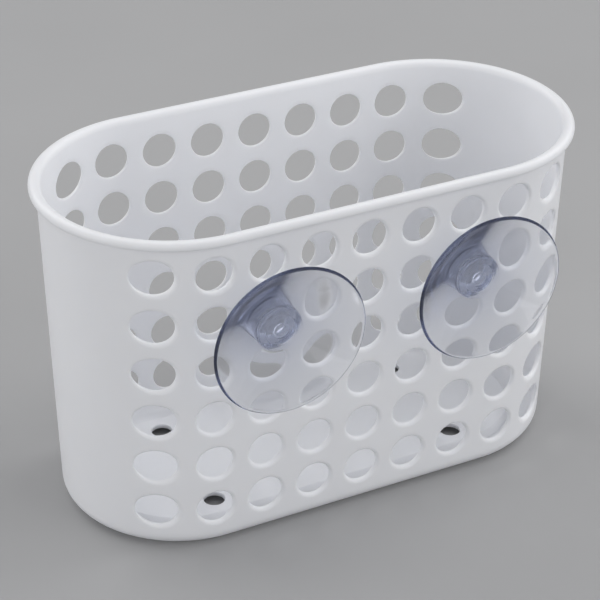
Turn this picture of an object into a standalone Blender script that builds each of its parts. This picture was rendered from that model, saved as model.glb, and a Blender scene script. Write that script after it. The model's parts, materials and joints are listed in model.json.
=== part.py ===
"""Suction cup bath basket: a perforated tub with two clear suction cups.

X runs along the basket, the suction cups face -Y and Z is up. The origin is the middle
of the footprint at the level that the basket stands on.
"""
import math

import bmesh
import bpy
from mathutils import Matrix, Vector

# Tub, in metres
STRAIGHT_RUN = 0.120          # between the centres of the two round ends
BASE_RADIUS = 0.05025         # of the round ends at ground level, draft line carried down
HEIGHT = 0.146                # ground to the top of the rim
DRAFT = math.radians(1.315)   # lean of the walls, wider at the top
WALL = 0.0022
FLOOR = 0.0022
BASE_EDGE_ROUND = 0.007       # between the wall and the ground

# Floor panel, raised so that the tub stands on a band round its edge
FOOT_BAND = 0.0067            # width of the flat band that the tub stands on
PANEL_RISE = 0.0028
PANEL_SLOPE = 0.0015          # run of the sloping step round the panel
DRAIN_DIAMETER = 0.009
DRAIN_BORDER = 0.0045         # from a drain hole to the panel's edge
DRAIN_INSET = 0.003           # from a round end's centre towards the middle

# Rolled rim
RIM_OVERHANG = 0.0029         # past the outside of the wall
RIM_DROP = 0.0035             # height of the rim's outer lip
RIM_CREST_ROUND = 0.0012      # outer edge of the crest, which falls off inwards in one arc
RIM_LIP_ROUND = 0.0008

# Round holes in the two long walls
HOLE_DIAMETER = 0.015
HOLE_WEB = 0.007              # between neighbouring holes
HOLE_BORDER = 0.0042          # above the base edge's round, and at least this below the rim

# Suction cups, measured along their own axis from the outside of the wall
CUP_DIAMETER = 0.064
CUP_ROWS_DOWN = 1             # rows from the top row to the cups' row
HUB_LENGTH = 0.0057
DISH_CENTRE = 0.0042          # thickness of the dish at the hub
DISH_DEPTH = 0.0093           # from the foot of the boss to the sealing rim
DISH_BULGE = 0.0010           # of the dish's hollow side, past a straight cone
BACK_BULGE = 0.0008           # of its back, past a straight cone
SKIRT_EDGE = 0.0005           # thickness of the dish at its edge
SEAL_WIDTH = 0.0014           # flat annulus that meets the tile
BOSS_DIAMETER = 0.0184
BOSS_RISE = 0.0008
DIMPLE_DIAMETER = 0.0045
DIMPLE_DEPTH = 0.0004
SHOULDER_CATCH = 0.0035       # hub wider than the hole
HEAD_CATCH = 0.0030           # mushroom head wider than the hole
HEAD_LENGTH = 0.0065
HEAD_EDGE = 0.0013            # upright edge under the head's dome
NECK_PLAY = 0.0040            # neck thinner than the hole
SEAT_GAP = 0.0003             # between a cup and the wall that it touches

CUTTER_REACH = 0.001          # how far a cutter runs past the faces that it cuts

# Fineness of the curves
END_SEGMENTS = 20             # in each round end
HOLE_SEGMENTS = 12
DRAIN_SEGMENTS = 16
ROUND_STEPS = 4               # in each rounded corner of the tub's section
CUP_SEGMENTS = 32
DISH_STEPS = 5
HEAD_STEPS = 4

# Values that follow from the sizes above
HALF_RUN = STRAIGHT_RUN / 2
RADIUS = HOLE_DIAMETER / 2
PITCH = HOLE_DIAMETER + HOLE_WEB
LOWEST_ROW = BASE_EDGE_ROUND + HOLE_BORDER + RADIUS
HIGHEST_ROW = HEIGHT - RIM_DROP - HOLE_BORDER - RADIUS
ROWS = math.floor((HIGHEST_ROW - LOWEST_ROW) / PITCH) + 1
CUP_RADIUS = CUP_DIAMETER / 2
CUP_COLUMN = math.floor(CUP_RADIUS / PITCH) + 1
CUP_ROW_HEIGHT = LOWEST_ROW + (ROWS - 1 - CUP_ROWS_DOWN) * PITCH
HUB_RADIUS = (HOLE_DIAMETER + SHOULDER_CATCH) / 2
HEAD_RADIUS = (HOLE_DIAMETER + HEAD_CATCH) / 2
NECK_RADIUS = (HOLE_DIAMETER - NECK_PLAY) / 2
HUB_TOP = SEAT_GAP + HUB_LENGTH
DISH_FLOOR = HUB_TOP + DISH_CENTRE
SEAL_HEIGHT = DISH_FLOOR + DISH_DEPTH


def wall_radius(height):
    """Outside of the wall, from the centre of a round end."""
    return BASE_RADIUS + height * math.tan(DRAFT)


def side_columns():
    """Columns on each side of the middle, up to where the bend has turned by an eighth."""
    bend = wall_radius(HEIGHT / 2) * math.sin(math.pi / 4)
    return math.floor((HALF_RUN + bend - RADIUS) / PITCH)


def foot_edge():
    """Inner edge of the band that the tub stands on, from the centre of a round end."""
    return wall_radius(BASE_EDGE_ROUND) - BASE_EDGE_ROUND - FOOT_BAND


def panel_radius():
    """Edge of the raised panel's top side, for a step as thick as the floor."""
    steepness = math.atan2(PANEL_RISE, PANEL_SLOPE)
    return foot_edge() - PANEL_SLOPE + FLOOR * math.tan(steepness / 2)


def quarter(centre, radius, start, steps=ROUND_STEPS):
    """Points of a quarter circle that turns left from the start angle, in degrees."""
    points = []
    for step in range(steps + 1):
        angle = math.radians(start + 90 * step / steps)
        points.append((centre[0] + radius * math.cos(angle), centre[1] + radius * math.sin(angle)))
    return points


def tub_section():
    """Radius and height of each ring of the tub, from under the panel to its top side."""
    inner_round = max(BASE_EDGE_ROUND - WALL, FLOOR)
    outside = wall_radius(BASE_EDGE_ROUND)
    inside = wall_radius(FLOOR + inner_round) - WALL
    rim = wall_radius(HEIGHT) + RIM_OVERHANG
    lip = HEIGHT - RIM_DROP
    lead_in = WALL + RIM_OVERHANG - RIM_CREST_ROUND
    section = [(foot_edge() - PANEL_SLOPE, PANEL_RISE), (foot_edge(), 0)]
    section += quarter((outside - BASE_EDGE_ROUND, BASE_EDGE_ROUND), BASE_EDGE_ROUND, -90)
    section += [(wall_radius(lip), lip)]
    section += quarter((rim - RIM_LIP_ROUND, lip + RIM_LIP_ROUND), RIM_LIP_ROUND, -90, 2)
    section += quarter((rim - RIM_CREST_ROUND, HEIGHT - RIM_CREST_ROUND), RIM_CREST_ROUND, 0)
    section += quarter((rim - RIM_CREST_ROUND, HEIGHT - lead_in), lead_in, 90)[1:]
    hollow = quarter((inside - inner_round, FLOOR + inner_round), inner_round, -90)
    section += reversed(hollow)
    section += [(panel_radius() + PANEL_SLOPE, FLOOR), (panel_radius(), FLOOR + PANEL_RISE)]
    return section


def tub_ring(mesh, radius, height):
    """Closed loop of edges with two straight sides and two round ends."""
    points = []
    for side, start in ((1, -90), (-1, 90)):
        for step in range(END_SEGMENTS + 1):
            angle = math.radians(start + 180 * step / END_SEGMENTS)
            across = radius * math.cos(angle)
            points.append(mesh.verts.new((side * HALF_RUN + across, radius * math.sin(angle), height)))
    return [mesh.edges.new((points[i - 1], points[i])) for i in range(len(points))]


def next_ring(mesh, ring, radius, height):
    """Extrude a loop of the tub's wall and spread it to its own radius and height."""
    grown = bmesh.ops.extrude_edge_only(mesh, edges=ring)["geom"]
    for point in (item for item in grown if isinstance(item, bmesh.types.BMVert)):
        end = Vector((math.copysign(HALF_RUN, point.co.x), 0, 0))
        outwards = Vector((point.co.x - end.x, point.co.y, 0)).normalized()
        point.co = end + outwards * radius + Vector((0, 0, height))
    return [item for item in grown if isinstance(item, bmesh.types.BMEdge)]


def cup_section():
    """Radius and height of a cup's outline, from its head's tip to the middle of its dish."""
    head_foot = -WALL - SEAT_GAP
    dome = HEAD_LENGTH - HEAD_EDGE
    section = []
    for step in range(HEAD_STEPS + 1):
        angle = math.radians(90 * step / HEAD_STEPS)
        drop = HEAD_EDGE + dome * math.cos(angle)
        section.append((HEAD_RADIUS * math.sin(angle), head_foot - drop))
    section += [(HEAD_RADIUS, head_foot), (NECK_RADIUS, head_foot), (NECK_RADIUS, SEAT_GAP)]
    section += [(HUB_RADIUS, SEAT_GAP)]
    section += bulging((HUB_RADIUS, HUB_TOP), (CUP_RADIUS, SEAL_HEIGHT - SKIRT_EDGE), BACK_BULGE)
    section += [(CUP_RADIUS, SEAL_HEIGHT)]
    inner_edge = (CUP_RADIUS - SEAL_WIDTH, SEAL_HEIGHT)
    section += reversed(bulging((BOSS_DIAMETER / 2, DISH_FLOOR), inner_edge, DISH_BULGE))
    boss = DISH_FLOOR + BOSS_RISE
    dimple = DIMPLE_DIAMETER / 2
    section += [(BOSS_DIAMETER / 2, boss), (dimple, boss), (dimple, boss - DIMPLE_DEPTH)]
    section += [(0, boss - DIMPLE_DEPTH)]
    return section


def bulging(low, high, bulge):
    """Points of an arc between two points of a cup's section, bulging down and outwards."""
    low, high = Vector(low), Vector(high)
    half = (high - low).length / 2
    ball = (half ** 2 + bulge ** 2) / (2 * bulge)
    across = Vector((low.y - high.y, high.x - low.x)).normalized()
    centre = (low + high) / 2 + across * (ball - bulge)
    first = math.atan2(low.y - centre.y, low.x - centre.x)
    last = math.atan2(high.y - centre.y, high.x - centre.x)
    points = []
    for step in range(DISH_STEPS + 1):
        angle = first + (last - first) * step / DISH_STEPS
        points.append((centre.x + ball * math.cos(angle), centre.y + ball * math.sin(angle)))
    return points


def cup_reach():
    """How far a leaning cup stands out from the wall's outside at its own axis."""
    return max(s * math.cos(DRAFT) + r * math.sin(DRAFT) for r, s in cup_section())


def cup_seat(side):
    """Point of a cup's axis on the outside of the wall, from the middle of the tub."""
    drop = RADIUS - NECK_RADIUS - SEAT_GAP
    hole = Vector((side * CUP_COLUMN * PITCH, -wall_radius(CUP_ROW_HEIGHT), CUP_ROW_HEIGHT))
    return hole + Vector((0, math.sin(DRAFT), -math.cos(DRAFT))) * drop


def plastic(name, colour, roughness, transmission=0.0):
    material = bpy.data.materials.new(name)
    material.use_nodes = True
    shader = material.node_tree.nodes["Principled BSDF"]
    shader.inputs["Base Color"].default_value = (*colour, 1)
    shader.inputs["Metallic"].default_value = 0
    shader.inputs["Roughness"].default_value = roughness
    shader.inputs["Transmission Weight"].default_value = transmission
    material.diffuse_color = (*colour, 1)
    return material


def finished(name, mesh, material, parent):
    """Object from a bmesh, with its faces turned out and its curves shaded smooth."""
    bmesh.ops.recalc_face_normals(mesh, faces=mesh.faces[:])
    data = bpy.data.meshes.new(name)
    mesh.to_mesh(data)
    mesh.free()
    if material:
        data.materials.append(material)
        data.shade_smooth()
        data.set_sharp_from_angle(angle=math.radians(35))
    piece = bpy.data.objects.new(name, data)
    bpy.context.collection.objects.link(piece)
    piece.parent = parent
    return piece


def add_rod(mesh, matrix, radius, length, segments):
    """Rod whose flat sides, not its corners, lie at the radius."""
    corner = radius / math.cos(math.pi / segments)
    turn = Matrix.Rotation(math.pi / segments, 4, 'Z')
    bmesh.ops.create_cone(mesh, cap_ends=True, segments=segments, radius1=corner, radius2=corner,
                          depth=length, matrix=matrix @ turn)


def tub_cutter(parent):
    """Rods for every hole of the two long walls and for the drain holes."""
    mesh = bmesh.new()
    across = Matrix.Rotation(math.radians(90), 4, 'X')
    depth = 2 * (wall_radius(HEIGHT) + CUTTER_REACH)
    for row in range(ROWS):
        for column in range(-side_columns(), side_columns() + 1):
            place = Matrix.Translation((column * PITCH, 0, LOWEST_ROW + row * PITCH))
            add_rod(mesh, place @ across, RADIUS, depth, HOLE_SEGMENTS)
    drain = DRAIN_DIAMETER / 2
    drain_x = HALF_RUN - DRAIN_INSET
    drain_y = panel_radius() - DRAIN_BORDER - drain
    middle = PANEL_RISE + FLOOR / 2
    for x, y in ((-drain_x, -drain_y), (drain_x, -drain_y), (-drain_x, drain_y), (drain_x, drain_y)):
        place = Matrix.Translation((x, y, middle))
        add_rod(mesh, place, drain, FLOOR + 2 * CUTTER_REACH, DRAIN_SEGMENTS)
    cutter = finished("holes_cutter", mesh, None, parent)
    cutter.hide_render = True
    cutter.display_type = 'WIRE'
    return cutter


def make_basket(parent):
    mesh = bmesh.new()
    section = tub_section()
    rings = [tub_ring(mesh, *section[0])]
    for radius, height in section[1:]:
        rings.append(next_ring(mesh, rings[-1], radius, height))
    for ring in (rings[0], rings[-1]):
        bmesh.ops.contextual_create(mesh, geom=ring)
    basket = finished("basket", mesh, plastic("white_plastic", (0.80, 0.81, 0.84), 0.35), parent)
    holes = basket.modifiers.new("holes", 'BOOLEAN')
    holes.operation = 'DIFFERENCE'
    holes.solver = 'EXACT'
    holes.object = tub_cutter(parent)


def make_cup(name, side, material, parent):
    """Suction cup turned about its own Z axis, then seated square to the wall."""
    mesh = bmesh.new()
    points = [mesh.verts.new((radius, 0, height)) for radius, height in cup_section()]
    outline = [mesh.edges.new(pair) for pair in zip(points, points[1:])]
    bmesh.ops.spin(mesh, geom=points + outline, cent=(0, 0, 0), axis=(0, 0, 1),
                   angle=2 * math.pi, steps=CUP_SEGMENTS, use_merge=True)
    bmesh.ops.remove_doubles(mesh, verts=mesh.verts[:], dist=1e-6)
    cup = finished(name, mesh, material, parent)
    cup.location = cup_seat(side)
    cup.rotation_euler = (math.radians(90) + DRAFT, 0, 0)


def main():
    for piece in list(bpy.data.objects):
        bpy.data.objects.remove(piece)
    tub_middle = bpy.data.objects.new("tub_middle", None)
    bpy.context.collection.objects.link(tub_middle)
    front = cup_reach() - cup_seat(1).y
    back = wall_radius(HEIGHT) + RIM_OVERHANG
    tub_middle.location = (0, (front - back) / 2, 0)
    make_basket(tub_middle)
    vinyl = plastic("clear_vinyl", (0.72, 0.76, 0.88), 0.08, 0.9)
    make_cup("suction_cup_left", -1, vinyl, tub_middle)
    make_cup("suction_cup_right", 1, vinyl, tub_middle)


main()
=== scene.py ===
"""Suction cup bath basket: a perforated white tub with a rolled rim and two clear suction cups.

Everything is in metres, with X along the basket, Z up and the suction cups facing -Y.
The sidebar panel lists the sizes and finishes, and one button for each piece.
"""
import json
import math

import bmesh
import bpy
from bpy.props import FloatProperty, FloatVectorProperty, IntProperty, PointerProperty
from mathutils import Matrix, Vector


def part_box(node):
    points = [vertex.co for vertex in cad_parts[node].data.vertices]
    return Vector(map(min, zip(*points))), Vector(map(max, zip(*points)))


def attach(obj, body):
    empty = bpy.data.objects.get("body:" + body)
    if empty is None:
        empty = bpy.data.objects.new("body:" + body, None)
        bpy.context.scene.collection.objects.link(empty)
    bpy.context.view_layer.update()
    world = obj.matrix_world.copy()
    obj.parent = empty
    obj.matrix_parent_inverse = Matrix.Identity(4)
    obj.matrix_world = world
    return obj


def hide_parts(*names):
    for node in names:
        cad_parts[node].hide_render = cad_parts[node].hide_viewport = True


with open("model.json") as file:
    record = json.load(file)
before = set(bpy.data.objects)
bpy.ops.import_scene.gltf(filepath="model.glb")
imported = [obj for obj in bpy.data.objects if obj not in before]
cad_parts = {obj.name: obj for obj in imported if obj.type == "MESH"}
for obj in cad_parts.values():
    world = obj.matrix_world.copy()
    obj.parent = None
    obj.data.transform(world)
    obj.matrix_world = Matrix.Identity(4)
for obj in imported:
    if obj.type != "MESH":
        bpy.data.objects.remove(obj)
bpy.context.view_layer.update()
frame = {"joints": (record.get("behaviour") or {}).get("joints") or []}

bl_info = {
    "name": "Suction Cup Bath Basket",
    "version": (1, 0, 0),
    "blender": (4, 5, 0),
    "location": "View3D > Sidebar > Bath Basket",
    "description": "Perforated tub with a rolled rim, carried by two clear suction cups",
    "category": "Add Mesh",
}

# The tub's box in the frame gives its height, its depth and the run between its round ends
TUB_LOW, TUB_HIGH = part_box("basket")
TUB_MIDDLE = Vector((0, (TUB_LOW.y + TUB_HIGH.y) / 2, 0))
RIM_RADIUS = (TUB_HIGH.y - TUB_LOW.y) / 2
CUP_JOINTS = {joint["child"]: joint for joint in frame["joints"]}

# How finely the curves are cut
HOLE_POINTS = 32              # round each hole, a multiple of 8
END_STEPS = 16                # from the last column of holes to the tip of a round end
ROUND_STEPS = 8               # in each large rounded corner of the tub
SMALL_STEPS = 4               # in each small one
HOLE_ROUND_STEPS = 5          # in the outside rounding of each hole
HOLE_BACK_STEPS = 2           # in the inside one
HOLE_RINGS = (0, 0.45, 1)     # rings of wall round a hole, from round at its mouth to square
COLLAR = 1.35                 # space that a hole's rounding needs, in widths of that rounding
CREASE = 0.0003               # half the width of the soft creases round the raised panel
DRAIN_RINGS = (0.0008, 0.0012)    # rings of floor round each drain
SHARP_EDGE = math.radians(40)     # the holes' edges turn more than this
CUP_STEPS = 112               # round each cup
DISH_STEPS = 20               # from a dish's hub to its edge
DOME_STEPS = 12               # from a head's tip to its edge
CUP_CORNER = math.radians(20)     # a cup's outline is rounded where it turns more than this
CORNER_SHARE = 0.45           # most that a rounding takes of a side of its corner
CORNER_STEPS = 3              # in each of those roundings
MERGE = 1e-6                  # points that lie nearer than this are one

# Square softboxes round the basket: name, place, width, power in watts, whether reflections show it
LIGHT_TARGET = Vector((0, 0, 0.05))
SOFTBOXES = (("top_right", (1.2, 0.1, 1.2), 1.4, 11.5, True),
             ("overhead", (0, 0, 1.5), 0.8, 2.5, True),
             ("front_left", (-1.2, -1.5, 0.9), 1.4, 7.5, True),
             ("front_right", (1.2, -1.5, 0.9), 1.4, 15.0, False),
             ("back_left", (-0.7, 1.2, 1.2), 1.4, 12.5, True),
             ("left", (-1.7, 0, 0.5), 1.0, 7.0, True))
STUDIO_AIR = (0.97, 0.98, 1.0, 1)
STUDIO_AIR_STRENGTH = 0.2
STUDIO_FLOOR_REACH = 6.0
PAINTED_LIGHT_FADE = (0.9, 4.0)       # where the floor's painted light starts and ends: its colour turns paler away from the lamps, standing in for their light
CLEAR_BOUNCES = 32            # so that light finds its way through the clear vinyl

# The camera at the photograph's angle, aimed near the tub's middle
CAMERA_AIM = Vector((-0.00294, 0.00112, 0.0719))
CAMERA_AZIMUTH = math.radians(-27.068)
CAMERA_ELEVATION = math.radians(31.331)
CAMERA_ROLL = math.radians(0.527)
CAMERA_DISTANCE = 0.842
CAMERA_LENS = 119.7           # millimetres, as the sensor's width is
CAMERA_SENSOR = 36
CAMERA_REACH = 20             # farthest thing that it shows, in metres

# Noise patterns of the finishes: scale and detail, and how far one is drawn out upwards
NOISE_SPAN = (0.3, 0.7)       # nearly all of a noise's values lie between these
PLASTIC_CLOUDS = (28, 3)
PLASTIC_GLOSS = (60, 4)
PLASTIC_WAVES = (35, 1)
DRAW_MARKS = (450, 2, 25)
PLASTIC_GRAIN = (900, 2)
VINYL_WAVES = (90, 2)
FLOOR_CLOUDS = (6, 4)

# Bumps of the finishes: strength, and height in metres
PLASTIC_WAVE_BUMP = (0.15, 0.0004)
DRAW_MARK_BUMP = (0.1, 0.0001)
PLASTIC_GRAIN_BUMP = (0.12, 0.0001)
VINYL_WAVE_BUMP = (0.1, 0.0002)

# Other values of the finishes
PLASTIC_IOR = 1.49
PLASTIC_PALER = 1.02          # of the clouds, times the plastic's colour
PLASTIC_GLOSS_SPREAD = 0.04   # of the roughness, either way
PLASTIC_DEPTH = 0.25          # share of the light that goes a little way into the plastic
PLASTIC_DEPTH_SCALE = 0.0035
PLASTIC_DEPTH_COLOURS = (1.0, 0.95, 0.9)
VINYL_IOR = 1.52
MATTE_FADE = 0.0006           # from the matte boss to the glossy dish
FLOOR_DARKER = 0.96           # of the clouds, times the floor's colour
FLOOR_ROUGH = 0.8
FLOOR_GLOSS = 0.1


def length(name, description, default):
    return FloatProperty(name=name, description=description, default=default, min=0.0,
                         unit='LENGTH', precision=4)


def colour(name, description, default):
    return FloatVectorProperty(name=name, description=description, default=default, size=3,
                               min=0.0, max=1.0, subtype='COLOR')


def share(name, description, default):
    return FloatProperty(name=name, description=description, default=default, min=0.0, max=1.0,
                         subtype='FACTOR')


class TubSizes(bpy.types.PropertyGroup):
    """Sizes of the moulded tub"""
    run: length("Straight run", "Between the centres of the round ends", 2 * (TUB_HIGH.x - RIM_RADIUS))
    rim_radius: length("Rim radius", "Outside of the rim at the round ends", RIM_RADIUS)
    height: length("Height", "From the ground to the top of the rim", TUB_HIGH.z)
    draft: FloatProperty(name="Draft", description="Lean of the walls, wider at the top",
                         default=math.radians(1.315), subtype='ANGLE')
    wall: length("Wall", "Thickness of the walls", 0.0022)
    floor: length("Floor", "Thickness of the floor", 0.0022)
    base_round: length("Base round", "Between the wall and the ground", 0.007)
    foot_band: length("Foot band", "Width of the flat band that the tub stands on", 0.0067)
    panel_rise: length("Panel rise", "Height of the raised floor panel", 0.0028)
    panel_slope: length("Panel slope", "Run of the step round the panel", 0.0015)
    drain: length("Drain", "Diameter of the drain holes", 0.009)
    drain_border: length("Drain border", "From a drain hole to the panel's edge", 0.0045)
    drain_inset: length("Drain inset", "From a round end's centre towards the middle", 0.003)
    overhang: length("Rim overhang", "Of the rim past the outside of the wall", 0.0029)
    drop: length("Rim drop", "Height of the rim's outer lip", 0.0035)
    crest_round: length("Crest round", "Outer edge of the rim's crest", 0.0022)
    lip_round: length("Lip round", "Lower edge of the rim's lip", 0.0008)
    under_round: length("Under round", "Corner between the wall and the rim's lip", 0.0005)
    hole: length("Hole", "Diameter of the round holes", 0.015)
    web: length("Web", "Between neighbouring holes", 0.007)
    border: length("Hole border", "Plain wall over the base edge's round", 0.0042)
    mouth_round: length("Hole mouth", "Rounding of the holes on the outside", 0.0016)
    back_round: length("Hole back", "Rounding of the holes on the inside", 0.0004)
    rows: IntProperty(name="Rows", description="Rows of holes", default=6, min=1)
    side_columns: IntProperty(name="Side columns", description="Columns on each side of the middle one",
                              default=4, min=0)


class CupSizes(bpy.types.PropertyGroup):
    """Sizes of a suction cup, along its axis from the outside of the wall"""
    diameter: length("Diameter", "Of the sealing rim", 0.064)
    gap: length("Gap", "Between the cup and the wall", 0.0003)
    hub_length: length("Hub length", "From the wall to the dish", 0.0057)
    hub: length("Hub", "Diameter of the hub behind the dish", 0.0185)
    centre: length("Dish centre", "Thickness of the dish at the hub", 0.0042)
    depth: length("Dish depth", "From the foot of the boss to the sealing rim", 0.0093)
    dish_bulge: length("Dish bulge", "Of the dish's hollow side, past a straight cone", 0.0010)
    back_bulge: length("Back bulge", "Of the dish's back, past a straight cone", 0.0008)
    edge: length("Dish edge", "Thickness of the dish at its edge", 0.0005)
    seal: length("Seal", "Width of the flat ring that meets the tile", 0.0010)
    boss: length("Boss", "Diameter of the boss in the dish", 0.0184)
    boss_rise: length("Boss rise", "Height of the boss", 0.0008)
    boss_ring: length("Boss ring", "Diameter of the moulded ring round the middle of the boss", 0.0125)
    inner_ring: length("Inner ring", "Diameter of the ring round the dimple", 0.0066)
    ring_groove: length("Ring groove", "Half the width of each ring's shallow groove", 0.0004)
    ring_depth: length("Ring depth", "Depth of each ring's groove", 0.0002)
    dimple: length("Dimple", "Diameter of the hollow in the boss", 0.0045)
    dimple_depth: length("Dimple depth", "Depth of that hollow", 0.0004)
    neck: length("Neck", "Diameter of the neck in its hole", 0.011)
    head: length("Head", "Diameter of the mushroom head", 0.018)
    head_length: length("Head length", "Of the mushroom head", 0.0065)
    head_edge: length("Head edge", "Upright edge under the head's dome", 0.0013)
    soft: length("Soft edge", "Rounding of the cup's edges", 0.0004)


class Finishes(bpy.types.PropertyGroup):
    """Colours and gloss of the two materials and of the stage"""
    plastic: colour("Plastic", "Colour of the white plastic", (0.83, 0.838, 0.866))
    plastic_rough: share("Plastic roughness", "Blur of the reflections on the plastic", 0.36)
    vinyl: colour("Vinyl", "Colour that the clear vinyl lets through", (0.985, 0.988, 0.995))
    vinyl_rough: share("Vinyl roughness", "Blur of the reflections on the vinyl", 0.055)
    matte: share("Matte vinyl", "Roughness of the vinyl's boss, hub, neck and head", 0.25)
    vinyl_depth: colour("Vinyl depth", "Colour of light that has gone far through the vinyl",
                        (0.12, 0.195, 0.43))
    vinyl_density: FloatProperty(name="Vinyl density", default=40.0, min=0.0,
                                 description="How soon the vinyl's depth colour shows")
    ground: colour("Ground", "Colour of the studio floor", (0.41, 0.41, 0.415))
    # Painted light: the floor's colour far from the lamps, made paler to stand in for the lamp light that
    # hardly reaches there
    far_floor_painted_light: colour("Far ground", "Colour of the floor far from the lamps", (0.9, 0.9, 0.91))


class BathBasket(bpy.types.PropertyGroup):
    """All the sizes and finishes of the bath basket"""
    tub: PointerProperty(type=TubSizes)
    cup: PointerProperty(type=CupSizes)
    finish: PointerProperty(type=Finishes)


# Shapes that the pieces share

def points_in(geometry):
    return [item for item in geometry if isinstance(item, bmesh.types.BMVert)]


def edges_in(geometry):
    return [item for item in geometry if isinstance(item, bmesh.types.BMEdge)]


def edges_round(points):
    """Edges of a ring of points, each once."""
    return list(dict.fromkeys(edge for point in points for edge in point.link_edges))


def middle_of(edge):
    return (edge.verts[0].co + edge.verts[1].co) / 2


def arc(centre, radius, start, end, steps):
    """Points of an arc round a centre, with its angles in degrees."""
    points = []
    for step in range(steps + 1):
        angle = math.radians(start + (end - start) * step / steps)
        points.append((centre[0] + radius * math.cos(angle), centre[1] + radius * math.sin(angle)))
    return points


def merge(mesh):
    bmesh.ops.remove_doubles(mesh, verts=mesh.verts[:], dist=MERGE)


def finished(name, mesh, material):
    """Object from a bmesh whose place is in its mesh, shaded smooth."""
    bmesh.ops.recalc_face_normals(mesh, faces=mesh.faces[:])
    data = bpy.data.meshes.new(name)
    mesh.to_mesh(data)
    mesh.free()
    data.shade_smooth()
    data.materials.append(material)
    piece = bpy.data.objects.new(name, data)
    bpy.context.collection.objects.link(piece)
    return piece


# Tub

def wall_radius(tub, height):
    """Outside of the wall, from the centre of a round end."""
    return tub.rim_radius - tub.overhang - (tub.height - height) * math.tan(tub.draft)


def pitch(tub):
    """From one hole's centre to the next one's."""
    return tub.hole + tub.web


def pierced_end(tub):
    """Half the width of the stretch of wall that the columns of holes cover."""
    return (tub.side_columns + 0.5) * pitch(tub)


def lowest_row(tub):
    """Height of the centres of the lowest row of holes."""
    return tub.base_round + tub.border + tub.hole / 2


def depth_at(tub, x, radius):
    """Distance from the tub's middle plane to a wall of this radius."""
    past = max(abs(x) - tub.run / 2, 0)
    return math.sqrt(radius ** 2 - past ** 2)


def hole_cell(mesh, tub, x, z):
    """Square of flat wall round one hole, in the XZ plane."""
    centre = Vector((x, 0, z))
    place = Matrix.Translation(centre) @ Matrix.Rotation(math.pi / 2, 4, 'X')
    ring = bmesh.ops.create_circle(mesh, segments=HOLE_POINTS, radius=tub.hole / 2, matrix=place)
    edges = edges_round(ring["verts"])
    collar = tub.hole / 2 + COLLAR * tub.mouth_round
    for squareness in HOLE_RINGS:
        grown = bmesh.ops.extrude_edge_only(mesh, edges=edges)["geom"]
        for point in points_in(grown):
            way = (point.co - centre).normalized()
            square = pitch(tub) / 2 / max(abs(way.x), abs(way.z))
            point.co = centre + way * (collar + (square - collar) * squareness)
        edges = edges_in(grown)


def skin(tub, inset):
    """One surface of the pierced wall, inset from its outside, open at the top and the bottom."""
    mesh = bmesh.new()
    for row in range(tub.rows):
        for column in range(-tub.side_columns, tub.side_columns + 1):
            hole_cell(mesh, tub, column * pitch(tub), lowest_row(tub) + row * pitch(tub))
    merge(mesh)
    for point in mesh.verts:
        point.co.y = -depth_at(tub, point.co.x, wall_radius(tub, point.co.z) - inset)
    for side in (-1, 1):
        plain_end(mesh, tub, inset, side)
    bmesh.ops.mirror(mesh, geom=mesh.verts[:] + mesh.edges[:] + mesh.faces[:], axis='Y', merge_dist=MERGE)
    merge(mesh)
    return mesh


def plain_end(mesh, tub, inset, side):
    """Carry the front's skin on round half of a bare end."""
    limit = pierced_end(tub)
    edges = [edge for edge in mesh.edges
             if edge.is_boundary and all(abs(point.co.x - side * limit) < MERGE for point in edge.verts)]
    for step in range(1, END_STEPS + 1):
        grown = bmesh.ops.extrude_edge_only(mesh, edges=edges)["geom"]
        for point in points_in(grown):
            radius = wall_radius(tub, point.co.z) - inset
            point.co.x, point.co.y = station_place(tub, radius, side * (limit + step / END_STEPS), -1)
        edges = edges_in(grown)


def station_place(tub, radius, station, front):
    """X and Y of a point on a ring. Its station is its X, or the plain end's share past that stretch."""
    limit = pierced_end(tub)
    side = math.copysign(1, station)
    if abs(station) <= limit + MERGE:
        return station, front * depth_at(tub, station, radius)
    widest = math.acos((limit - tub.run / 2) / radius)
    angle = widest * (1 - (abs(station) - limit))
    return side * (tub.run / 2 + radius * math.cos(angle)), front * radius * math.sin(angle)


def station_of(tub, point, radius):
    """Station of a point that lies on a ring of this radius."""
    limit = pierced_end(tub)
    side = math.copysign(1, point.x)
    if abs(point.x) <= limit + MERGE:
        return point.x
    widest = math.acos((limit - tub.run / 2) / radius)
    angle = math.atan2(abs(point.y), abs(point.x) - tub.run / 2)
    return side * (limit + 1 - angle / widest)


def end_loop(mesh, height):
    """Edges of the open loop at one height."""
    return [edge for edge in mesh.edges
            if edge.is_boundary and all(abs(point.co.z - height) < MERGE for point in edge.verts)]


def rim_section(tub):
    """Radius and height of the rim's outline, from the outside of the wall over to its inside."""
    rim = tub.rim_radius
    lip = tub.height - tub.drop
    lead_in = tub.wall + tub.overhang - tub.crest_round
    crest = rim - tub.crest_round
    under = tub.under_round
    section = arc((wall_radius(tub, lip) + under, lip - under), under, 180, 90, SMALL_STEPS)
    section += arc((rim - tub.lip_round, lip + tub.lip_round), tub.lip_round, -90, 0, SMALL_STEPS)
    section += arc((crest, tub.height - tub.crest_round), tub.crest_round, 0, 90, ROUND_STEPS)
    section += arc((crest, tub.height - lead_in), lead_in, 90, 180, ROUND_STEPS)[1:]
    return section


def foot_edge(tub):
    """Inner edge of the band that the tub stands on, from the centre of a round end."""
    return wall_radius(tub, tub.base_round) - tub.base_round - tub.foot_band


def panel_radius(tub):
    """Edge of the raised panel's top side, for a step as thick as the floor."""
    steep = math.atan2(tub.panel_rise, tub.panel_slope)
    return foot_edge(tub) - tub.panel_slope + tub.floor * math.tan(steep / 2)


def drain_places(tub):
    """Centres of the drains, from the tub's middle at ground level."""
    x = tub.run / 2 - tub.drain_inset
    y = panel_radius(tub) - tub.drain_border - tub.drain / 2
    return [Vector((side * x, end * y, 0)) for side in (-1, 1) for end in (-1, 1)]


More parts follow.
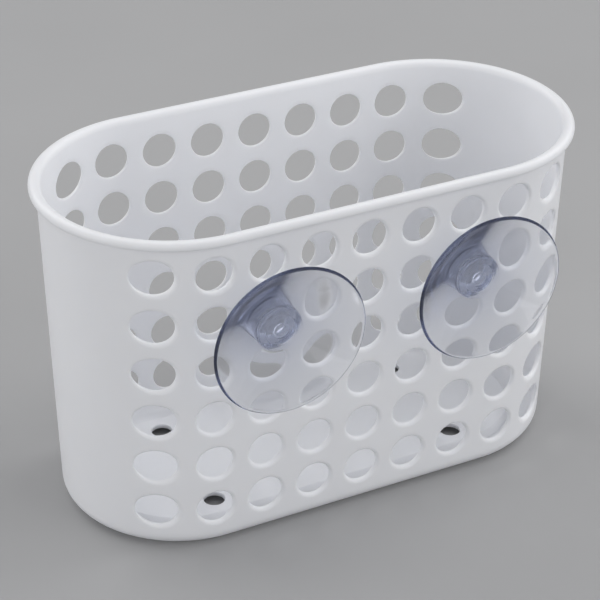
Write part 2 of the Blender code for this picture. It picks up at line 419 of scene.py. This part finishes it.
def base_sections(tub):
    """Outlines of the base, from the wall to the panel: under the ground edge and on the floor."""
    inner_round = max(tub.base_round - tub.wall, tub.floor)
    outside = wall_radius(tub, tub.base_round)
    inside = wall_radius(tub, tub.floor + inner_round) - tub.wall
    below = arc((outside - tub.base_round, tub.base_round), tub.base_round, 0, -90, ROUND_STEPS)
    below += panel_step(foot_edge(tub), foot_edge(tub) - tub.panel_slope, 0, tub.panel_rise)
    above = arc((inside - inner_round, tub.floor + inner_round), inner_round, 0, -90, ROUND_STEPS)
    panel = panel_radius(tub)
    above += panel_step(panel + tub.panel_slope, panel, tub.floor, tub.floor + tub.panel_rise)
    return below, above


def panel_step(foot, edge, low, high):
    """Outline of the step up to the raised panel, with a soft crease at its foot and at its edge."""
    return [(foot + 2 * CREASE, low), (foot + CREASE, low + CREASE / 3),
            (edge + CREASE, high - CREASE / 3), (edge - CREASE, high), (edge - 3 * CREASE, high)]


def spread_ring(mesh, tub, edges, radius, height):
    """Extrude a loop of the tub and spread it square to its outline to a radius and height."""
    grown = bmesh.ops.extrude_edge_only(mesh, edges=edges)["geom"]
    for point in points_in(grown):
        end = Vector((max(-tub.run / 2, min(tub.run / 2, point.co.x)), 0, 0))
        outwards = Vector((point.co.x - end.x, point.co.y, 0)).normalized()
        point.co = end + outwards * radius + Vector((0, 0, height))
    return edges_in(grown)


def add_rim(mesh, tub, edges, height):
    """Carry the outer skin over the rim, to meet the inner skin's top."""
    radius = wall_radius(tub, height)
    inner_end = (radius - tub.wall, height)
    for new_radius, new_height in rim_section(tub) + [inner_end]:
        grown = bmesh.ops.extrude_edge_only(mesh, edges=edges)["geom"]
        for point in points_in(grown):
            station = station_of(tub, point.co, radius)
            front = math.copysign(1, point.co.y)
            point.co.x, point.co.y = station_place(tub, new_radius, station, front)
            point.co.z = new_height
        radius = new_radius
        edges = edges_in(grown)


def add_panel(mesh, tub, edges, height):
    """Close a panel with quads round its drains and a fill between them."""
    rings = list(edges)
    for place in drain_places(tub):
        centre = place + Vector((0, 0, height))
        circle = bmesh.ops.create_circle(mesh, segments=HOLE_POINTS, radius=tub.drain / 2,
                                         matrix=Matrix.Translation(centre))
        ring = edges_round(circle["verts"])
        for growth in DRAIN_RINGS:
            grown = bmesh.ops.extrude_edge_only(mesh, edges=ring)["geom"]
            for point in points_in(grown):
                way = (point.co - centre).normalized()
                point.co = centre + way * (tub.drain / 2 + growth)
            ring = edges_in(grown)
        rings += ring
    bmesh.ops.triangle_fill(mesh, edges=rings, use_beauty=True, use_dissolve=False)


def make_tub(tub):
    """The whole moulding, round the tub's middle at ground level."""
    bottom = lowest_row(tub) - pitch(tub) / 2
    top = bottom + tub.rows * pitch(tub)
    mesh = skin(tub, 0)
    add_rim(mesh, tub, end_loop(mesh, top), top)
    inside = skin(tub, tub.wall)
    scratch = bpy.data.meshes.new("inside")
    inside.to_mesh(scratch)
    inside.free()
    below, above = base_sections(tub)
    outer_loop = end_loop(mesh, bottom)
    for radius, height in below:
        outer_loop = spread_ring(mesh, tub, outer_loop, radius, height)
    tunnels(mesh, tub, bottom, top)
    add_panel(mesh, tub, outer_loop, tub.panel_rise)
    before = set(mesh.edges)
    mesh.from_mesh(scratch)
    bpy.data.meshes.remove(scratch)
    inner_loop = [edge for edge in end_loop(mesh, bottom) if edge not in before]
    for radius, height in above:
        inner_loop = spread_ring(mesh, tub, inner_loop, radius, height)
    add_panel(mesh, tub, inner_loop, tub.floor + tub.panel_rise)
    drain_walls(mesh, tub)
    merge(mesh)
    bmesh.ops.recalc_face_normals(mesh, faces=mesh.faces[:])
    round_holes(mesh, tub, bottom, top)
    return mesh


def tunnels(mesh, tub, bottom, top):
    """Carry each hole's edge straight through the wall."""
    rings = [edge for edge in mesh.edges
             if edge.is_boundary and bottom + MERGE < middle_of(edge).z < top - MERGE]
    grown = bmesh.ops.extrude_edge_only(mesh, edges=rings)["geom"]
    for point in points_in(grown):
        inner = depth_at(tub, point.co.x, wall_radius(tub, point.co.z) - tub.wall)
        point.co.y = math.copysign(inner, point.co.y)


def drain_walls(mesh, tub):
    """Join each drain's lower edge to its upper one."""
    lower = [edge for edge in mesh.edges if edge.is_boundary
             and all(abs(point.co.z - tub.panel_rise) < MERGE for point in edge.verts)]
    grown = bmesh.ops.extrude_edge_only(mesh, edges=lower)["geom"]
    bmesh.ops.translate(mesh, verts=points_in(grown), vec=(0, 0, tub.floor))


def round_holes(mesh, tub, bottom, top):
    """Round the edges of the holes, more on the outside than on the inside."""
    outside, inside, drains = [], [], []
    for edge in mesh.edges:
        middle = middle_of(edge)
        if edge.calc_face_angle(0) < SHARP_EDGE:
            continue
        if bottom < middle.z < top:
            past = max(abs(middle.x) - tub.run / 2, 0)
            out = math.hypot(past, middle.y) > wall_radius(tub, middle.z) - tub.wall / 2
            (outside if out else inside).append(edge)
        elif min((middle.xy - place.xy).length for place in drain_places(tub)) < tub.drain / 2 + MERGE:
            drains.append(edge)
    soften(mesh, outside, tub.mouth_round, HOLE_ROUND_STEPS)
    soften(mesh, inside, tub.back_round, HOLE_BACK_STEPS)
    soften(mesh, drains, tub.back_round, HOLE_BACK_STEPS)


def soften(mesh, edges, size, steps):
    """Give edges a round section."""
    edges = [edge for edge in edges if edge.is_valid]
    bmesh.ops.bevel(mesh, geom=edges, offset=size, offset_type='OFFSET', segments=steps, profile=0.5,
                    affect='EDGES', clamp_overlap=False, material=-1)


# Suction cups

def bulging(low, high, bulge):
    """Points of an arc between two points of a cup's outline, bulging down and outwards."""
    low, high = Vector(low), Vector(high)
    half = (high - low).length / 2
    ball = (half ** 2 + bulge ** 2) / (2 * bulge)
    across = Vector((low.y - high.y, high.x - low.x)).normalized()
    centre = (low + high) / 2 + across * (ball - bulge)
    start, end = (math.degrees(math.atan2(*(point - centre).yx)) for point in (low, high))
    return arc(centre, ball, start, end, DISH_STEPS)


def cup_outline(cup, wall):
    """Radius and height along a cup's axis, from the tip of its head to the middle of its boss."""
    head_foot = -wall - cup.gap
    hub_top = cup.gap + cup.hub_length
    floor = hub_top + cup.centre
    seal = floor + cup.depth
    rim = cup.diameter / 2
    boss = floor + cup.boss_rise
    dome = cup.head_length - cup.head_edge
    head = cup.head / 2
    outline = [(head * across, head_foot - cup.head_edge + dome * along)
               for across, along in arc((0, 0), 1, -90, 0, DOME_STEPS)]
    outline += [(head, head_foot), (cup.neck / 2, head_foot), (cup.neck / 2, cup.gap)]
    outline += [(cup.hub / 2, cup.gap)]
    outline += bulging((cup.hub / 2, hub_top), (rim, seal - cup.edge), cup.back_bulge)
    outline += [(rim, seal)]
    outline += reversed(bulging((cup.boss / 2, floor), (rim - cup.seal, seal), cup.dish_bulge))
    outline += [(cup.boss / 2, boss)]
    for ring in (cup.boss_ring / 2, cup.inner_ring / 2):
        outline += [(ring + cup.ring_groove, boss), (ring, boss - cup.ring_depth),
                    (ring - cup.ring_groove, boss)]
    outline += [(cup.dimple / 2, boss), (cup.dimple / 2, boss - cup.dimple_depth)]
    outline += [(0, boss - cup.dimple_depth)]
    return outline


def make_cup(cup, wall, joint):
    """Cup turned about its axis, then laid on its joint's axis."""
    mesh = bmesh.new()
    points = [mesh.verts.new((radius, 0, height)) for radius, height in cup_outline(cup, wall)]
    for pair in zip(points, points[1:]):
        mesh.edges.new(pair)
    corners = [point for point in points if len(point.link_edges) == 2 and bend(point) > CUP_CORNER]
    room = [CORNER_SHARE * min(edge.calc_length() for edge in point.link_edges) for point in corners]
    for point, most in zip(corners, room):
        bmesh.ops.bevel(mesh, geom=[point], offset=min(cup.soft, most), offset_type='OFFSET',
                        segments=CORNER_STEPS, profile=0.5, affect='VERTICES', clamp_overlap=False,
                        material=-1)
    bmesh.ops.spin(mesh, geom=mesh.verts[:] + mesh.edges[:], cent=(0, 0, 0), axis=(0, 0, 1),
                   angle=2 * math.pi, steps=CUP_STEPS, use_merge=True)
    merge(mesh)
    axis = Vector(joint["axis"])
    turn = axis.to_track_quat('Z', 'Y').to_matrix().to_4x4()
    bmesh.ops.transform(mesh, matrix=Matrix.Translation(joint["pos_m"]) @ turn, verts=mesh.verts[:])
    return mesh


def bend(point):
    """Angle by which an outline turns at one of its points."""
    one, other = (edge.other_vert(point).co - point.co for edge in point.link_edges)
    return math.pi - one.angle(other)


# Finishes

class Nodes:
    """Short ways to add and join the nodes of one material."""

    def __init__(self, name):
        self.material = bpy.data.materials.new(name)
        self.material.use_nodes = True
        self.tree = self.material.node_tree
        self.shader = self.tree.nodes["Principled BSDF"]
        self.output = self.tree.nodes["Material Output"]
        self.place = self.add("TexCoord").outputs["Object"]

    def add(self, kind, operation=None, **values):
        """Node with an operation and values for its sockets, from_min for From Min."""
        node = self.tree.nodes.new("ShaderNode" + kind)
        if operation:
            node.operation = operation
        for name, value in values.items():
            node.inputs[name.replace("_", " ").title()].default_value = value
        return node

    def join(self, output, socket):
        self.tree.links.new(output, socket)

    def vector(self, operation, source, value=None):
        """Vector Math node on a source and a fixed vector."""
        node = self.add("VectorMath", operation)
        self.join(source, node.inputs[0])
        if value:
            node.inputs[1].default_value = value
        return node.outputs

    def noise(self, scale, detail, drawn_out=1):
        """Noise on the piece's own place, drawn out along Z by a factor."""
        node = self.add("TexNoise", scale=scale, detail=detail)
        place = self.vector('MULTIPLY', self.place, (1, 1, 1 / drawn_out))["Vector"]
        self.join(place, node.inputs["Vector"])
        return node.outputs["Fac"]

    def between(self, factor, low, high, start=NOISE_SPAN[0], end=NOISE_SPAN[1]):
        """Value that runs from low to high as a factor runs from its start to its end."""
        node = self.add("MapRange", from_min=start, from_max=end, to_min=low, to_max=high)
        self.join(factor, node.inputs["Value"])
        return node.outputs["Result"]

    def round_cups(self, radius, soft, inside, outside):
        """Value inside and outside a radius from the nearer cup's axis."""
        right = CUP_JOINTS["cup_right"]["pos_m"]
        mirrored = self.vector('ABSOLUTE', self.place)["Vector"]
        flat = self.vector('MULTIPLY', mirrored, (1, 0, 1))["Vector"]
        away = self.vector('DISTANCE', flat, (right[0], 0, right[2]))["Value"]
        return self.between(away, inside, outside, radius, radius + soft)

    def blend(self, factor, one, other):
        """Colour that runs from one to the other with a factor. Each is a colour or an output."""
        node = self.add("Mix")
        node.data_type = 'RGBA'
        colours = [socket for socket in node.inputs if socket.type == 'RGBA']
        for socket, source in zip(colours, (one, other)):
            if isinstance(source, bpy.types.NodeSocket):
                self.join(source, socket)
            else:
                socket.default_value = (*source, 1)
        self.join(factor, node.inputs["Factor"])
        return next(socket for socket in node.outputs if socket.type == 'RGBA')

    def bump(self, height, size, normal=None):
        """Normal of a bump, whose size is its strength and its height, over another normal."""
        strength, distance = size
        node = self.add("Bump", strength=strength, distance=distance)
        self.join(height, node.inputs["Height"])
        if normal:
            self.join(normal, node.inputs["Normal"])
        return node.outputs["Normal"]


def satin_plastic(finish):
    """White moulded plastic: faint clouding, uneven gloss, upright draw marks and a very fine grain."""
    nodes = Nodes("satin_white_plastic")
    shader = nodes.shader.inputs
    clouds = nodes.between(nodes.noise(*PLASTIC_CLOUDS), 0, 1)
    pale = [min(1, value * PLASTIC_PALER) for value in finish.plastic]
    nodes.join(nodes.blend(clouds, finish.plastic, pale), shader["Base Color"])
    smoothest = finish.plastic_rough - PLASTIC_GLOSS_SPREAD
    roughest = finish.plastic_rough + PLASTIC_GLOSS_SPREAD
    nodes.join(nodes.between(nodes.noise(*PLASTIC_GLOSS), smoothest, roughest), shader["Roughness"])
    shader["IOR"].default_value = PLASTIC_IOR
    shader["Subsurface Weight"].default_value = PLASTIC_DEPTH
    shader["Subsurface Radius"].default_value = PLASTIC_DEPTH_COLOURS
    shader["Subsurface Scale"].default_value = PLASTIC_DEPTH_SCALE
    waves = nodes.bump(nodes.noise(*PLASTIC_WAVES), PLASTIC_WAVE_BUMP)
    marks = nodes.bump(nodes.noise(*DRAW_MARKS), DRAW_MARK_BUMP, waves)
    grain = nodes.bump(nodes.noise(*PLASTIC_GRAIN), PLASTIC_GRAIN_BUMP, marks)
    nodes.join(grain, shader["Normal"])
    return nodes.material


def clear_vinyl(finish, hub_radius):
    """Clear soft vinyl with a blue-violet depth, and a surface that is never quite even."""
    nodes = Nodes("clear_soft_vinyl")
    shader = nodes.shader.inputs
    shader["Base Color"].default_value = (*finish.vinyl, 1)
    rough = nodes.round_cups(hub_radius, MATTE_FADE, finish.matte, finish.vinyl_rough)
    nodes.join(rough, shader["Roughness"])
    shader["IOR"].default_value = VINYL_IOR
    shader["Transmission Weight"].default_value = 1.0
    nodes.join(nodes.bump(nodes.noise(*VINYL_WAVES), VINYL_WAVE_BUMP), shader["Normal"])
    depth = nodes.add("VolumeAbsorption", color=(*finish.vinyl_depth, 1), density=finish.vinyl_density)
    nodes.join(depth.outputs["Volume"], nodes.output.inputs["Volume"])
    let_light_by(nodes, finish)
    return nodes.material


def let_light_by(nodes, finish):
    """Let light through to what lies behind the vinyl, as a thin clear dish does."""
    path = nodes.add("LightPath").outputs
    either = nodes.add("Math", 'MAXIMUM')
    nodes.join(path["Is Shadow Ray"], either.inputs[0])
    nodes.join(path["Is Diffuse Ray"], either.inputs[1])
    clear = nodes.add("BsdfTransparent", color=(*finish.vinyl, 1))
    mix = nodes.add("MixShader")
    nodes.join(either.outputs["Value"], mix.inputs["Fac"])
    nodes.join(nodes.shader.outputs["BSDF"], mix.inputs[1])
    nodes.join(clear.outputs["BSDF"], mix.inputs[2])
    nodes.join(mix.outputs["Shader"], nodes.output.inputs["Surface"])


def studio_ground(finish):
    """Plain matte floor with hardly any clouding, and painted light: its colour turns paler away from the
    lamps, where their light hardly reaches.
    """
    nodes = Nodes("studio_ground")
    shader = nodes.shader.inputs
    darker = [value * FLOOR_DARKER for value in finish.ground]
    clouds = nodes.between(nodes.noise(*FLOOR_CLOUDS), 0, 1)
    near = nodes.blend(clouds, finish.ground, darker)
    # Painted light: the floor's colour turns paler with distance from the middle, standing in for the
    # lamps' light that fades there
    away = nodes.vector('LENGTH', nodes.place)["Value"]
    painted_light_share = nodes.between(away, 0, 1, *PAINTED_LIGHT_FADE)
    nodes.join(nodes.blend(painted_light_share, near, finish.far_floor_painted_light), shader["Base Color"])
    shader["Roughness"].default_value = FLOOR_ROUGH
    shader["Specular IOR Level"].default_value = FLOOR_GLOSS
    return nodes.material


# Operators

class ADD_OT_bath_basket_tub(bpy.types.Operator):
    """Add the perforated tub with its rolled rim"""
    bl_idname = "mesh.bath_basket_tub"
    bl_label = "Perforated Tub"

    def execute(self, context):
        basket = context.scene.bath_basket
        mesh = make_tub(basket.tub)
        bmesh.ops.translate(mesh, verts=mesh.verts[:], vec=TUB_MIDDLE)
        tub = finished("perforated_tub", mesh, satin_plastic(basket.finish))
        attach(tub, "basket")
        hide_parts("basket")
        return {'FINISHED'}


class ADD_OT_bath_basket_cups(bpy.types.Operator):
    """Add the clear suction cups in their holes of the front wall"""
    bl_idname = "mesh.bath_basket_cups"
    bl_label = "Suction Cups"

    def execute(self, context):
        basket = context.scene.bath_basket
        vinyl = clear_vinyl(basket.finish, basket.cup.hub / 2)
        for side in ("left", "right"):
            mesh = make_cup(basket.cup, basket.tub.wall, CUP_JOINTS["cup_" + side])
            cup = finished("clear_cup_" + side, mesh, vinyl)
            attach(cup, "cup_" + side)
            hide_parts("suction_cup_" + side)
        return {'FINISHED'}


class ADD_OT_bath_basket_stage(bpy.types.Operator):
    """Add the pale floor, the soft studio light and the camera"""
    bl_idname = "object.bath_basket_stage"
    bl_label = "Studio Stage"

    def execute(self, context):
        scene = context.scene
        mesh = bmesh.new()
        bmesh.ops.create_grid(mesh, x_segments=1, y_segments=1, size=STUDIO_FLOOR_REACH)
        ground = finished("studio_floor", mesh, studio_ground(scene.bath_basket.finish))
        for softbox in SOFTBOXES:
            add_light(*softbox)
        scene.world = studio_air()
        scene.view_settings.view_transform = 'Standard'
        scene.cycles.max_bounces = CLEAR_BOUNCES
        scene.cycles.glossy_bounces = CLEAR_BOUNCES
        scene.cycles.transmission_bounces = CLEAR_BOUNCES
        scene.camera = add_camera()
        return {'FINISHED'}


def studio_air():
    """Faint even light from all round."""
    world = bpy.data.worlds.new("studio_air")
    world.use_nodes = True
    background = world.node_tree.nodes["Background"].inputs
    background["Color"].default_value = STUDIO_AIR
    background["Strength"].default_value = STUDIO_AIR_STRENGTH
    return world


def add_light(name, place, size, power, shows):
    """Square softbox facing the basket, which shows in reflections or only lights."""
    lamp = bpy.data.lights.new(name, 'AREA')
    lamp.shape = 'SQUARE'
    lamp.size = size
    lamp.energy = power
    light = bpy.data.objects.new(name, lamp)
    light.location = place
    light.visible_glossy = shows
    light.visible_transmission = shows
    light.rotation_euler = (LIGHT_TARGET - Vector(place)).to_track_quat('-Z', 'Y').to_euler()
    bpy.context.collection.objects.link(light)


def add_camera():
    """Camera at the photograph's angle, with a slight roll."""
    level = math.cos(CAMERA_ELEVATION)
    back = Vector((math.sin(CAMERA_AZIMUTH) * level, -math.cos(CAMERA_AZIMUTH) * level,
                   math.sin(CAMERA_ELEVATION)))
    lens = bpy.data.cameras.new("camera")
    lens.sensor_width = CAMERA_SENSOR
    lens.lens = CAMERA_LENS
    lens.clip_end = CAMERA_REACH
    camera = bpy.data.objects.new("camera", lens)
    camera.location = TUB_MIDDLE + CAMERA_AIM + back * CAMERA_DISTANCE
    look = (-back).to_track_quat('-Z', 'Y').to_matrix()
    camera.rotation_euler = (look @ Matrix.Rotation(CAMERA_ROLL, 3, 'Z')).to_euler()
    bpy.context.collection.objects.link(camera)
    return camera


class VIEW3D_PT_bath_basket(bpy.types.Panel):
    """Sizes, finishes and pieces of the bath basket"""
    bl_label = "Bath Basket"
    bl_space_type = 'VIEW_3D'
    bl_region_type = 'UI'
    bl_category = "Bath Basket"

    def draw(self, context):
        basket = context.scene.bath_basket
        for group in (basket.tub, basket.cup, basket.finish):
            box = self.layout.box()
            for name in group.__annotations__:
                box.prop(group, name)
        for operator in PIECES:
            self.layout.operator(operator.bl_idname)


PIECES = (ADD_OT_bath_basket_tub, ADD_OT_bath_basket_cups, ADD_OT_bath_basket_stage)
CLASSES = (TubSizes, CupSizes, Finishes, BathBasket, *PIECES, VIEW3D_PT_bath_basket)


def register():
    for item in CLASSES:
        bpy.utils.register_class(item)
    bpy.types.Scene.bath_basket = PointerProperty(type=BathBasket)


def unregister():
    del bpy.types.Scene.bath_basket
    for item in reversed(CLASSES):
        bpy.utils.unregister_class(item)


def main():
    register()
    bpy.ops.mesh.bath_basket_tub()
    bpy.ops.mesh.bath_basket_cups()
    bpy.ops.object.bath_basket_stage()


if __name__ == "__main__":
    main()
